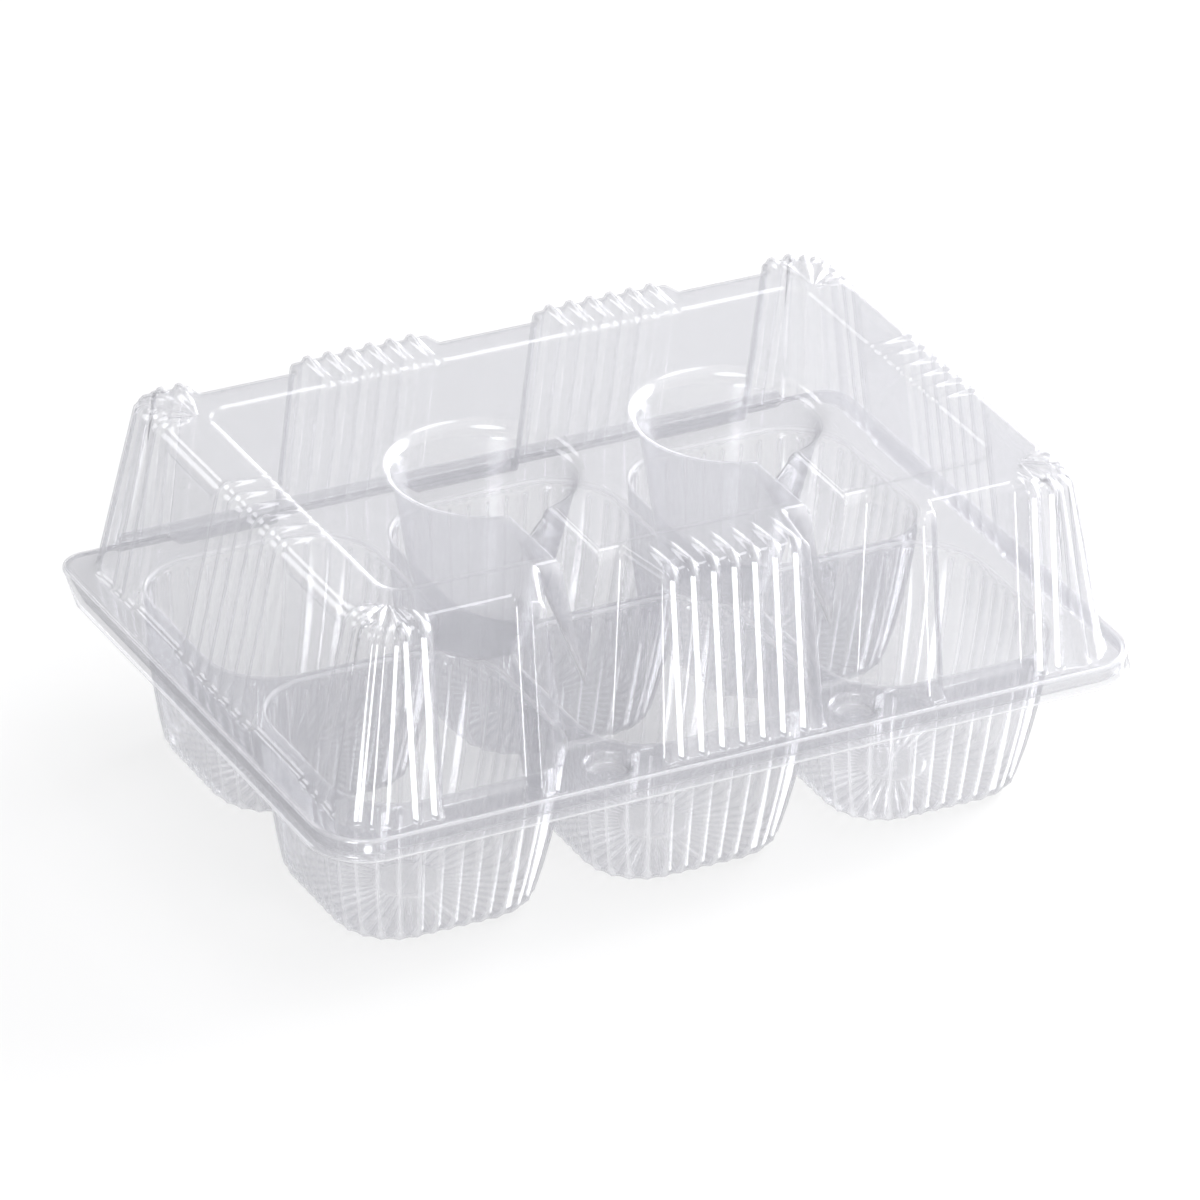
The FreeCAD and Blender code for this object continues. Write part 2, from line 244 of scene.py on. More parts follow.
class Sheet:
    """Points and faces of one formed sheet, gathered patch by patch and welded at the end."""

    def __init__(self):
        self.points = []
        self.faces = []

    def add(self, points):
        """Take points in and give their numbers."""
        start = len(self.points)
        self.points.extend(tuple(p) for p in points)
        return list(range(start, len(self.points)))

    def rows(self, rows, closed=False):
        """Skin through rows of points, all of one length."""
        ids = [self.add(row) for row in rows]
        count = len(ids[0])
        span = count if closed else count - 1
        for low, high in zip(ids, ids[1:]):
            for i in range(span):
                k = (i + 1) % count
                self.faces.append((low[i], low[k], high[k], high[i]))

    def cap(self, row):
        """Fan of triangles from a closed row to its middle."""
        middle = np.mean(np.array(row), axis=0)
        ids = self.add(row)
        centre = self.add([middle])[0]
        for i in range(len(ids)):
            self.faces.append((ids[i], ids[(i + 1) % len(ids)], centre))

    def flat(self, outer, holes, inner, height):
        """Near-level area inside outer and outside holes.  The inner points and any that the
        triangulation adds get their height from height(x, y)."""
        points = []
        edges = []
        for loop in [outer] + holes:
            start = len(points)
            points += [tuple(p) for p in loop]
            edges += [(start + i, start + (i + 1) % len(loop)) for i in range(len(loop))]
        points += [(x, y, height(x, y)) for x, y in inner]
        verts, _, faces, origin, _, _ = delaunay_2d_cdt(
            [Vector(p[:2]) for p in points], edges, [], 0, 1e-4)
        plan = np.array([tuple(v) for v in verts])
        corners = np.array([tuple(f) for f in faces])
        middles = plan[corners].mean(axis=1)
        keep = inside(middles, outer)
        for loop in holes:
            keep &= ~inside(middles, loop)
        heights = [points[o[0]][2] if o else height(*v) for o, v in zip(origin, verts)]
        ids = self.add([(v[0], v[1], z) for v, z in zip(verts, heights)])
        for face in corners[keep]:
            self.faces.append(tuple(ids[i] for i in face))

    def build(self, name, body, node):
        """Mesh object of the sheet, its upper side first, thickened downwards and hung on its body."""
        work = bmesh.new()
        verts = [work.verts.new(Vector(p) * MM) for p in self.points]
        for face in self.faces:
            try:
                work.faces.new([verts[i] for i in face])
            except ValueError:  # the same face twice, or a face that has shrunk to a line
                continue
        bmesh.ops.remove_doubles(work, verts=work.verts, dist=WELD * MM)
        bmesh.ops.dissolve_degenerate(work, dist=WELD * MM, edges=work.edges)
        loose = [v for v in work.verts if not v.link_faces]
        bmesh.ops.delete(work, geom=loose, context="VERTS")
        bmesh.ops.recalc_face_normals(work, faces=work.faces)
        if sum(f.normal.z * f.calc_area() for f in work.faces) < 0:
            bmesh.ops.reverse_faces(work, faces=work.faces)
        mesh = bpy.data.meshes.new(name)
        work.to_mesh(mesh)
        work.free()
        mesh.shade_smooth()
        obj = bpy.data.objects.new(name, mesh)
        bpy.context.scene.collection.objects.link(obj)
        thick = obj.modifiers.new("thickness", "SOLIDIFY")
        thick.thickness = SHEET_LOOK * MM
        thick.offset = -1
        obj.modifiers.new("even_shading", "WEIGHTED_NORMAL")
        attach(obj, body)
        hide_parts(node)
        return obj


def inside(points, loop):
    """True for each point within the closed loop."""
    loop = np.array([p[:2] for p in loop])
    nxt = np.roll(loop, -1, axis=0)
    result = np.zeros(len(points), bool)
    for (ax, ay), (bx, by) in zip(loop, nxt):
        if ay == by:
            continue
        crosses = (ay > points[:, 1]) != (by > points[:, 1])
        at = ax + (points[:, 1] - ay) * (bx - ax) / (by - ay)
        result ^= crosses & (points[:, 0] < at)
    return result


# A path is a list of corners (x, y, radius, lift, steps): lift is the height of a rib there, in
# shares of a full rib, and a corner with steps is rounded to its radius in that many steps.

def point(x, y, lift=0.0):
    """Sharp corner of a path."""
    return (x, y, 0.0, lift, 0)


def bend(x, y, radius, steps=BEND_STEPS, lift=0.0):
    """Rounded corner of a path; with a lift it has flutes."""
    return (x, y, radius, lift, steps)


def traced(path, closed=False):
    """Points (x, y, lift) along a path, its corners rounded.  A plain bend keeps to its own part
    of the edges beside it."""
    out = []
    count = len(path)
    for i, (x, y, radius, lift, steps) in enumerate(path):
        end = not closed and i in (0, count - 1)
        if not steps or end:
            out.append((x, y, lift))
            continue
        before = np.array([x - path[i - 1][0], y - path[i - 1][1]])
        after = np.array([path[(i + 1) % count][0] - x, path[(i + 1) % count][1] - y])
        u = before / np.linalg.norm(before)
        v = after / np.linalg.norm(after)
        turn = math.atan2(u[0] * v[1] - u[1] * v[0], u @ v)
        if abs(turn) < TINY:
            out += [(x, y, lift)] * (steps + 1)
            continue
        setback = radius * math.tan(abs(turn) / 2)
        if not lift:
            setback = min(setback, BEND_REACH * min(np.linalg.norm(before), np.linalg.norm(after)))
        r = setback / math.tan(abs(turn) / 2)
        start = np.array([x, y]) - u * setback
        centre = start + math.copysign(r, turn) * np.array([-u[1], u[0]])
        dx, dy = start - centre
        for k in range(steps + 1):
            c, s = math.cos(turn * k / steps), math.sin(turn * k / steps)
            wave = 0.5 * (1 - math.cos(2 * math.pi * CORNER_FLUTES * k / steps))
            out.append((centre[0] + dx * c - dy * s, centre[1] + dx * s + dy * c, lift * wave))
    return out


def normals(points, closed=False):
    """Outward unit normals (x, y) of an anticlockwise row of points."""
    p = np.array([q[:2] for q in points])
    if closed:
        d = np.roll(p, -1, axis=0) - np.roll(p, 1, axis=0)
    else:
        d = np.gradient(p, axis=0)
    n = np.stack([d[:, 1], -d[:, 0]], axis=1)
    return n / np.maximum(np.linalg.norm(n, axis=1), 1e-9)[:, None]


def ribs_along_x(centres, y, heading):
    """Path corners across ribs on a wall at y, travelling in the direction of heading."""
    return [point(c + heading * s * RIB_HALF, y, hump(s)) for c in centres for s in RIB_PROFILE]


def ribs_along_y(centres, x):
    """Path corners across ribs on the right-hand wall at x, travelling towards the back."""
    return [point(x, c + s * RIB_HALF, hump(s)) for c in centres for s in RIB_PROFILE]


def group(centre, pitch, count):
    """Centres of count ribs spaced by pitch about centre."""
    return [centre + (i - (count - 1) / 2) * pitch for i in range(count)]


def mirrored(path):
    """The path reflected in x and reversed."""
    return [(-x, y, radius, lift, steps) for x, y, radius, lift, steps in reversed(path)]


def middle_bay(t, face, notch, flare, seam):
    """Path of the middle bay's right half, from the middle rib to the groove's near side."""
    ribs = [i * FRONT_RIB_PITCH for i in FRONT_RIBS if i >= 0]
    middle_of_rib = len(RIB_PROFILE) // 2
    path = ribs_along_x(ribs, face, 1)[middle_of_rib:]
    corner_x = mix(BAY_CORNER_X["base"], BAY_CORNER_X["top"], t) - flare
    inner_x = mix(NOTCH_INNER_X["base"], NOTCH_INNER_X["top"], t) - flare
    path += [bend(corner_x, face - BAY_CORNER_PROUD, BAY_BEND), bend(inner_x, notch, WALL_BEND)]
    return path + [point(POST_X - seam, notch)]


def front_part(t, face, panel, notch, flare, seam):
    """Path from the groove's far side round the outer bay and its panel to the column ribs."""
    outer_x = mix(NOTCH_OUTER_X["base"], NOTCH_OUTER_X["top"], t) + flare
    path = [point(POST_X + seam, notch), bend(outer_x, notch, WALL_BEND)]
    path += [bend(OUTER_BAY_X[0] + flare, face - OUTER_BAY_PROUD[0], OUTER_BAY_BENDS[0])]
    path += [bend(OUTER_BAY_X[1], face - OUTER_BAY_PROUD[1], OUTER_BAY_BENDS[1])]
    path += [bend(FRONT_PANEL_X, panel, WALL_BEND), bend(PANEL_END_X, panel, WALL_BEND)]
    return path + [bend(COLUMN_EDGE_X, face, COLUMN_BEND)] + ribs_along_x(COLUMN_RIBS_X, face, 1)


def side_part(face, panel):
    """Path along the right-hand wall: column ribs, panel, rib group, panel, column ribs."""
    near, far = SIDE_GROUP_Y - SIDE_GROUP_HALF, SIDE_GROUP_Y + SIDE_GROUP_HALF
    stops = ((face, -SIDE_PANEL_END_Y - SIDE_SLOPE), (panel, -SIDE_PANEL_END_Y), (panel, near - SIDE_SLOPE),
             (face, near), (face, far), (panel, far + SIDE_SLOPE), (panel, SIDE_PANEL_END_Y),
             (face, SIDE_PANEL_END_Y + SIDE_SLOPE))
    bends = [bend(x, y, SIDE_PANEL_BEND) for x, y in stops]
    path = ribs_along_y([-y for y in COLUMN_RIBS_Y[::-1]], face) + bends[:4]
    path += ribs_along_y(group(SIDE_GROUP_Y, SIDE_RIB_PITCH, RIBS_PER_GROUP), face) + bends[4:]
    return path + ribs_along_y(COLUMN_RIBS_Y, face)


def back_part(face, panel):
    """Path along the back wall from the right-hand column ribs to the middle panel."""
    path = ribs_along_x(COLUMN_RIBS_X[::-1], face, -1)
    path += [bend(COLUMN_EDGE_X, face, COLUMN_BEND), bend(PANEL_END_X, panel, WALL_BEND)]
    path += [bend(BACK_PANEL_X, panel, WALL_BEND), bend(BACK_GROUP_X[1], face, WALL_BEND)]
    path += ribs_along_x(group(POST_X, BACK_RIB_PITCH, RIBS_PER_GROUP)[::-1], face, -1)
    return path + [bend(BACK_GROUP_X[0], face, WALL_BEND), bend(BACK_MIDDLE_PANEL_X, panel, WALL_BEND)]


def wall_paths(t, shrink, seam, recess):
    """The lid wall at height fraction t as two open paths: round the back from notch to notch, and
    the middle bay.  shrink moves the walls inwards, seam is half the gap left for each groove and
    recess is the share of their full depth that the side panels have."""
    front = mix(DOME_BASE["front"], DOME_TOP["front"], t) + shrink
    back = mix(DOME_BASE["back"], DOME_TOP["back"], t) - shrink
    side = mix(DOME_BASE["side"], DOME_TOP["side"], t) - shrink
    notch = mix(NOTCH_BACK_BASE, NOTCH_BACK_TOP, t) + shrink
    flare = max(shrink, 0) / 2
    corner = mix(DOME_CORNER_BASE, DOME_CORNER_TOP, t) - DOME_CORNER_SHRINK * shrink
    front_face = front + RIB_PROUD
    side_face = side - RIB_PROUD
    side_panel = mix(side_face, side - PANEL_RECESS_SIDE, recess)

    half = front_part(t, front_face, front + PANEL_RECESS_LONG, notch, flare, seam)
    half += [bend(side, front, corner, CORNER_SAMPLES, CORNER_LIFT)]
    half += side_part(side_face, side_panel)
    half += [bend(side, back, corner, CORNER_SAMPLES, CORNER_LIFT)]
    half += back_part(back - RIB_PROUD, back - PANEL_RECESS_LONG)
    middle = middle_bay(t, front_face, notch, flare, seam)
    return half + mirrored(half), mirrored(middle)[:-1] + middle


# A row of the lid wall: its height; how far it moves inwards; half its gap at a groove; the shares
# of a rib's height that point outwards and upwards; how much of the ribs is there; how much of the
# side panels is there; and, where a groove's edge turns over into the top, the turn in degrees.
Level = namedtuple("Level", "z shrink seam out up lift recess turn",
                   defaults=(0.0, 0.0, 1.0, 0.0, 1.0, 0.0, 0.0))


def groove_half(z):
    """Half width of a groove at height z on the notch wall."""
    return GROOVE_HALF * (z - LID_Z - GROOVE_LOW) / (DOME_HEIGHT - GROOVE_LOW)


def wall_levels():
    """Rows of the lid wall from the rim up: base fillet, wall, ledge and shoulder."""
    levels = [Level(FLANGE_Z, -BASE_FILLET - FLAT_RING, lift=0.0, recess=1.0)]
    for turn in FILLET_TURNS:
        a = math.radians(turn)
        z = FLANGE_Z + BASE_FILLET * (1 - math.cos(a))
        lift = smooth(turn / RIBS_FULL_TURN)
        levels.append(Level(z, -BASE_FILLET * (1 - math.sin(a)), lift=lift, recess=1.0))
    low = LID_Z + GROOVE_LOW
    spring = TOP_Z - SHOULDER
    levels.append(Level(mix(FLANGE_Z + BASE_FILLET, low, 0.5), recess=1.0))
    foot, top = TOP_Z - LEDGE_FOOT, TOP_Z - LEDGE_TOP
    for z in [mix(low, foot, i / 5) for i in range(6)] + [mix(foot, top, 0.5), top, spring]:
        recess = (top - z) / (top - foot)
        levels.append(Level(z, seam=groove_half(z), recess=min(max(recess, 0), 1)))
    for turn in SHOULDER_TURNS:
        a = math.radians(turn)
        z = TOP_Z - SHOULDER * (1 - math.sin(a))
        seam = groove_half(spring) + GROOVE_FILLET * (1 - math.cos(a))
        levels.append(Level(z, SHOULDER * (1 - math.cos(a)), seam, math.cos(a), math.sin(a), turn=turn))
    return levels


def wall_rows():
    """Rows of points for the two wall paths, and the level each belongs to."""
    around, middle, levels = [], [], wall_levels()
    for level in levels:
        t = min((level.z - LID_Z) / DOME_HEIGHT, 1 - SHOULDER / DOME_HEIGHT)
        paths = wall_paths(t, level.shrink, level.seam, level.recess)
        for rows, path in zip((around, middle), paths):
            points = traced(path)
            row = []
            for (x, y, share), (nx, ny) in zip(points, normals(points)):
                d = RIB_PROUD * share * level.lift
                row.append((x + nx * level.out * d, y + ny * level.out * d, level.z + level.up * d))
            rows.append(row)
    return around, middle, levels


def in_groove(level):
    """True for the rows of the wall that a groove cuts."""
    return level.z >= LID_Z + GROOVE_LOW - TINY


def post_radius(z):
    """Radius of a post at height z."""
    return mix(POST_FOOT_R, POST_MOUTH_R, (z - FLANGE_Z) / DOME_HEIGHT)


def post_levels(levels):
    """(z, radius, seam) up a post: its closed rows, then those matched to the wall's groove rows."""
    matched = []
    low = LID_Z + GROOVE_LOW
    spring = TOP_Z - SHOULDER
    mouth = TOP_Z - MOUTH_FILLET
    for level in filter(in_groove, levels):
        a = math.radians(level.turn)
        height = TOP_Z - MOUTH_FILLET * (1 - math.sin(a))
        radius = post_radius(mouth) + MOUTH_FILLET * (1 - math.cos(a))
        if not level.turn:
            height = mix(LID_Z + GROOVE_HIGH, mouth, (level.z - low) / (spring - low))
            radius = post_radius(height)
        matched.append((height, radius, level.seam))
    foot = []
    for turn in FILLET_TURNS[:-1]:
        a = math.radians(turn)
        radius = post_radius(FLANGE_Z) - FOOT_FILLET * (1 - math.sin(a))
        foot.append((FLANGE_Z + FOOT_FILLET * (1 - math.cos(a)), radius, 0.0))
    lower = [mix(FLANGE_Z + FOOT_FILLET, matched[0][0], i / 4) for i in range(4)]
    return foot + [(z, post_radius(z), 0.0) for z in lower], matched


def post_row(centre_x, level):
    """Points round a post at one level, from one side of its groove to the other."""
    z, radius, seam = level
    gap = math.asin(min(seam / radius, 1.0))
    start, stop = -math.pi / 2 + gap, 1.5 * math.pi - gap
    angles = [mix(start, stop, i / POST_SAMPLES) for i in range(POST_SAMPLES + 1)]
    return [(centre_x + radius * math.cos(a), radius * math.sin(a), z) for a in angles]


def groove_rows(left, right, upper):
    """Ruled rows from the notch wall to a post: left and right are the edges of the groove in the
    wall and upper the post's rows beside it, all from the low end up."""
    across = left[::-1] + right[1:]
    beyond = [row[-1] for row in upper][::-1] + [row[0] for row in upper][1:]
    rows = []
    for s in GROOVE_STEPS:
        rows.append([tuple(mix(a, b, s) for a, b in zip(p, q)) for p, q in zip(across, beyond)])
    return rows


def rim_outline(x, y, r, back):
    """Closed path of a rim, with extra points where its edge changes."""
    path = [bend(-x, -y, r, RIM_CORNER_STEPS)] + [point(s, -y) for s in FRONT_STOPS]
    path += [bend(x, -y, r, RIM_CORNER_STEPS)] + [point(x, s) for s in SIDE_STOPS]
    path += [bend(x, back, r, RIM_CORNER_STEPS)] + [point(s, back) for s in BACK_STOPS]
    path += [bend(-x, back, r, RIM_CORNER_STEPS)] + [point(-x, s) for s in SIDE_STOPS[::-1]]
    return traced(path, closed=True)


def rim_rows(margin, z, depth, flare):
    """Rows over the edge of a rim: level top, rounded edge, turned-down skirt and trim lip.
    Along the hinge the edge turns the other way by WEB_DROP or less."""
    x, y, r = RIM_HALF_X - margin, RIM_HALF_Y - margin, RIM_CORNER - margin
    back = BACK_EDGE_Y - SHEET_LOOK if flare else BACK_EDGE_Y
    lip = SHEET - WEB_DROP if flare else WEB_DROP
    outline = rim_outline(x, y, r, back)
    profile = [(-EDGE_FILLET - FLAT_RING, 0.0)]
    profile += [(-EDGE_FILLET * (1 - math.sin(a)), 1 - math.cos(a)) for a in np.radians(FILLET_TURNS)]
    rows = [[] for _ in range(len(profile) + len(SKIRT_ROWS))]
    for (px, py, _), (nx, ny) in zip(outline, normals(outline, closed=True)):
        behind = smooth((py - SKIRT_END_Y) / SKIRT_FADE)
        hinge = smooth((WEB_HALF_X + HINGE_FADE - abs(px)) / HINGE_FADE) if py > back - 0.2 else 0.0
        fall = mix(mix(depth, BACK_FALL, behind), lip, hinge)
        width = flare * (1 - behind)
        soft = math.copysign(min(EDGE_FILLET, abs(fall)), fall)
        for row, (inset, share) in zip(rows, profile):
            row.append((px + nx * inset, py + ny * inset, z - soft * share))
        for row, (out, share) in zip(rows[len(profile):], SKIRT_ROWS):
            down = max(fall * share, soft, key=abs)
            row.append((px + nx * out * width, py + ny * out * width, z - down))
    return rows


def dimple_rows(cx, radius, depth, z):
    """Rows of a round dimple in the front rim, from its plane down to the floor, the edge rounded."""
    shape = ((radius + 1.0, 0), (radius + 0.55, -0.12), (radius + 0.2, -0.45), (radius * 0.96, -depth * 0.5),
             (radius * 0.9, -depth * 0.88), (radius * 0.82, -depth), (radius * 0.45, -depth))
    angles = [2 * math.pi * i / DIMPLE_SAMPLES for i in range(DIMPLE_SAMPLES)]
    return [[(cx + r * math.cos(a), STUD_Y + r * math.sin(a), z + d) for a in angles] for r, d in shape]


def top_marks():
    """Marks pressed into the top of the lid: (start, end), fading towards the end."""
    marks = []
    for i in FRONT_RIBS:
        marks.append(((i * FRONT_RIB_PITCH, FRONT_MARK_Y[0]), (i * FRONT_RIB_PITCH, FRONT_MARK_Y[1])))
    for side in (-1, 1):
        for x in group(POST_X, BACK_RIB_PITCH, RIBS_PER_GROUP):
            marks.append(((side * x, BACK_MARK_Y[0]), (side * x, BACK_MARK_Y[1])))
        for y in group(SIDE_GROUP_Y, SIDE_RIB_PITCH, RIBS_PER_GROUP):
            marks.append(((side * SIDE_MARK_X[0], y), (side * SIDE_MARK_X[1], y)))
        for y in (-COLUMN_RIBS_Y[0], COLUMN_RIBS_Y[0]):
            marks.append(((side * COLUMN_MARK_X[0], y), (side * COLUMN_MARK_X[1], y * COLUMN_MARK_TURN)))
        x = COLUMN_RIBS_X[0]
        for start, end in (COLUMN_FRONT_MARK_Y, COLUMN_BACK_MARK_Y):
            marks.append(((side * x, start), (side * (x - COLUMN_MARK_LEAN), end)))
    return marks


MARKS = top_marks()


def mark_height(x, y, mark):
    """Height that one mark adds at (x, y)."""
    (ax, ay), (bx, by) = mark
    dx, dy = bx - ax, by - ay
    length = math.hypot(dx, dy)
    along = ((x - ax) * dx + (y - ay) * dy) / length
    across = ((x - ax) * -dy + (y - ay) * dx) / length
    if along > length or abs(across) >= RIB_HALF:
        return 0.0
    return RIB_PROUD * hump(across / RIB_HALF) * (1 - max(along, 0.0) / length) ** MARK_FADE


def fan_height(x, y):
    """Height of the folded fans at the four corners of the top."""
    dx, dy = abs(x) - FAN_CENTRE[0], abs(y) - FAN_CENTRE[1]
    r = math.hypot(dx, dy)
    angle = math.degrees(math.atan2(dy, dx))
    if r > FAN_RADIUS + FAN_OVERRUN or not FAN_FROM < angle < FAN_TO:
        return 0.0
    fade = smooth((r - FAN_START) / FAN_RISE) * smooth((FAN_RADIUS + FAN_OVERRUN - r) / FAN_FALL)
    edge = smooth((angle - FAN_FROM) / FAN_SIDE_FADE) * smooth((FAN_TO - angle) / FAN_SIDE_FADE)
    middle = (FAN_FROM + FAN_TO) / 2
    return FAN_LIFT * fade * edge * (0.5 + 0.5 * math.cos(math.radians(angle - middle) * 360 / FAN_PITCH))


def step_height(x, y):
    """How far the middle of the top lies below its border."""
    dx = abs(x) - (TOP_STEP_HALF_X - TOP_STEP_CORNER)
    dy = max(y - (TOP_STEP_BACK - TOP_STEP_CORNER), (TOP_STEP_FRONT + TOP_STEP_CORNER) - y)
    out = math.hypot(max(dx, 0), max(dy, 0)) + min(max(dx, dy), 0) - TOP_STEP_CORNER
    return -TOP_STEP * (1 - smooth((out + STEP_WIDTH / 2) / STEP_WIDTH))


def top_height(x, y):
    """Height of the lid's top at (x, y)."""
    lift = max([mark_height(x, y, m) for m in MARKS] + [fan_height(x, y)])
    return TOP_Z + lift + step_height(x, y)


def step_line(grow):
    """Evenly spaced points along the step, moved outwards by grow."""
    x, back, front = TOP_STEP_HALF_X + grow, TOP_STEP_BACK + grow, TOP_STEP_FRONT - grow
    corners = ((-x, front), (x, front), (x, back), (-x, back))
    path = [bend(cx, cy, TOP_STEP_CORNER + grow, 2 * BEND_STEPS) for cx, cy in corners]
    outline = [p[:2] for p in traced(path, closed=True)]
    points = []
    for (px, py), (qx, qy) in zip(outline, outline[1:] + outline[:1]):
        count = max(1, int(math.hypot(qx - px, qy - py) / STEP_SPACING))
        points += [(mix(px, qx, i / count), mix(py, qy, i / count)) for i in range(count)]
    return points


def top_points():
    """Plan points that carry the shape of the top: along ribs, fans and the step."""
    points = []
    for (ax, ay), (bx, by) in MARKS:
        dx, dy = bx - ax, by - ay
        length = math.hypot(dx, dy)
        ux, uy = dx / length * RIB_HALF, dy / length * RIB_HALF
        points += [(ax + dx * s - uy * p, ay + dy * s + ux * p) for s in MARK_STOPS for p in RIB_PROFILE]
    for sx in (-1, 1):
        for sy in (-1, 1):
            for angle in range(FAN_FROM + 1, FAN_TO, 4):
                c, s = math.cos(math.radians(angle)), math.sin(math.radians(angle))
                points += [(sx * (FAN_CENTRE[0] + r * c), sy * (FAN_CENTRE[1] + r * s)) for r in FAN_RINGS]
    for grow in STEP_LINES:
        points += step_line(grow)
    return points


def clear_of(points, loop, distance):
    """Points that lie inside the loop and farther than distance from its corners."""
    p = np.array(points)
    keep = inside(p, loop)
    a = np.array([q[:2] for q in loop])
    for i in range(0, len(p), 2000):
        block = p[i:i + 2000]
        gap = np.sqrt(((block[:, None, :] - a[None, :, :]) ** 2).sum(-1)).min(1)
        keep[i:i + 2000] &= gap > distance
    return [tuple(q) for q in p[keep]]


def lid_sheet():
    """The lid: ribbed wall, notches, grooves, posts, top, flange, studs and skirt."""
    sheet = Sheet()
    around, middle, levels = wall_rows()
    sheet.rows(around)
    sheet.rows(middle)
    grooved = [i for i, level in enumerate(levels) if in_groove(level)]
    lower, matched = post_levels(levels)
    # Edge of the top: round the back, then past the left post, the middle bay and the right post
    boundary = list(around[-1])
    for side in (-1, 1):
        rows = [post_row(side * POST_X, level) for level in lower + matched]
        sheet.rows(rows)
        sheet.cap(rows[0][:-1])
        left, right = (around, middle) if side < 0 else (middle, around)
        wall_edges = [left[i][-1] for i in grooved], [right[i][0] for i in grooved]
        grid = groove_rows(*wall_edges, rows[len(lower):])
        sheet.rows(grid)
        boundary += [row[0] for row in grid[1:]] + rows[-1][-2::-1] + [row[-1] for row in grid[-2::-1]]
        if side < 0:
            boundary += middle[-1][1:]
    boundary.pop()
    inner = clear_of(top_points(), boundary, CLEAR_OF_EDGE)
    sheet.flat(boundary, [], inner, top_height)

    studs = [dimple_rows(side * POST_X, STUD_R, STUD_DEPTH, FLANGE_Z) for side in (-1, 1)]
    for rows in studs:
        sheet.rows(rows, closed=True)
        sheet.cap(rows[-1])
    edge = rim_rows(0, FLANGE_Z, LID_SKIRT + SHEET, LIP_FLARE)
    sheet.rows(edge, closed=True)
    base = list(around[0]) + list(middle[0])
    sheet.flat(edge[0], [base] + [rows[0] for rows in studs], [], lambda x, y: FLANGE_Z)
    return sheet


def rounded_square(half, corner, count):
    """Points evenly spaced along a rounded square, from the middle of its right side."""
    straight = half - corner
    quarter = 2 * straight + corner * math.pi / 2
    points = []
    for i in range(count):
        turn, s = divmod(i / count * 4 + 0.5, 1)
        s *= quarter
        if s < straight * 2:
            x, y = half, s - straight
        else:
            a = (s - straight * 2) / corner
            x, y = straight + corner * math.cos(a), straight + corner * math.sin(a)
        c, w = math.cos(turn * math.pi / 2), math.sin(turn * math.pi / 2)
        points.append((x * c - y * w, x * w + y * c))
    return points


def flute(i):
    """Height of the flutes at sample i, in shares of FLUTE_DEPTH: one narrow ridge to a flute."""
    return FLUTE_PROFILE[i % len(FLUTE_PROFILE)]


def cup_shape():
    """Rows of a cup from its mouth to the end of its foot: (half width, corner, z, share of the
    flutes' depth, turn of the foot in degrees)."""
    mouth = CUP_MOUTH_HALF - SHEET
    end = CUP_WALL_END_HALF - SHEET
    foot_z = CUP_FOOT_RADIUS + CUP_FLOOR_Z
    shape = [(mouth + out, CUP_CORNER + more, RIM_Z - down, 0, 0) for out, more, down in CUP_MOUTH_ROWS]
    for down, share in CUP_WALL_ROWS:
        t = down / (RIM_Z - foot_z)
        half = mix(mouth, end, t ** CUP_WALL_CURVE)
        shape.append((half, mix(CUP_CORNER, CUP_FOOT_CORNER, t), RIM_Z - down, share, 0))
    for turn in (0, 25, 50, 70, 90):
        a = math.radians(turn)
        inwards = CUP_FOOT_RADIUS * (1 - math.cos(a))
        z = foot_z - CUP_FOOT_RADIUS * math.sin(a)
        shape.append((end - inwards, CUP_FOOT_CORNER - CUP_FOOT_SHRINK * inwards, z, FOOT_FLUTE_SHARE, turn))
    return shape


def cup_rows(cx, cy):
    """Rows of one cup from its mouth down the fluted wall, round the foot and in to the plain disc."""
    count = FLUTES * len(FLUTE_PROFILE)
    rows = []
    for half, corner, z, share, turn in cup_shape():
        plan = rounded_square(half, corner, count)
        out, down = math.cos(math.radians(turn)), math.sin(math.radians(turn))
        row = []
        for i, ((x, y), (nx, ny)) in enumerate(zip(plan, normals(plan, closed=True))):
            d = FLUTE_DEPTH * share * flute(i)
            row.append((cx + x + nx * d * out, cy + y + ny * d * out, z - d * down))
        rows.append(row)
    # From the foot's last row, whose plan this still is, in to the disc
    angles = [math.atan2(y, x) for x, y in plan]
    for s in (0.2, 0.4, 0.6, 0.8, 1.0):
        fade = 1 - smooth((s - 0.7) / 0.3)
        row = []
        for i, ((x, y), a) in enumerate(zip(plan, angles)):
            px, py = mix(x, CUP_DISC_R * math.cos(a), s), mix(y, CUP_DISC_R * math.sin(a), s)
            row.append((cx + px, cy + py, CUP_FLOOR_Z - FLUTE_DEPTH * flute(i) * fade))
        rows.append(row)
    for radius, rise in DISC_ROWS:
        z = CUP_FLOOR_Z + rise
        rows.append([(cx + radius * math.cos(a), cy + radius * math.sin(a), z) for a in angles])
    return rows


def tray_sheet():
    """The tray: rim, six fluted cups, two snap sockets and skirt."""
    sheet = Sheet()
    hollows = [cup_rows(cx, cy) for cx in CUP_X for cy in CUP_Y]
    for side in (-1, 1):
        hollows.append(dimple_rows(side * POST_X, STUD_R + STUD_CLEARANCE, STUD_DEPTH + SHEET, RIM_Z))
    for rows in hollows:
        sheet.rows(rows, closed=True)
        sheet.cap(rows[-1])
    edge = rim_rows(NEST_MARGIN, RIM_Z, TRAY_SKIRT, 0.0)
    sheet.rows(edge, closed=True)
    sheet.flat(edge[0], [rows[0] for rows in hollows], [], lambda x, y: RIM_Z)
    return sheet


def web_sheet():
    """The folding web: an upright strip with a bead along each crease."""
    sheet = Sheet()
    low = RIM_Z - WEB_DROP
    high = LID_Z + WEB_DROP
    xs = np.linspace(-WEB_HALF_X, WEB_HALF_X, WEB_SAMPLES)
    sheet.rows([[(x, RIM_HALF_Y + out, mix(low, high, t)) for x in xs] for out, t in WEB_PROFILE])
    return sheet


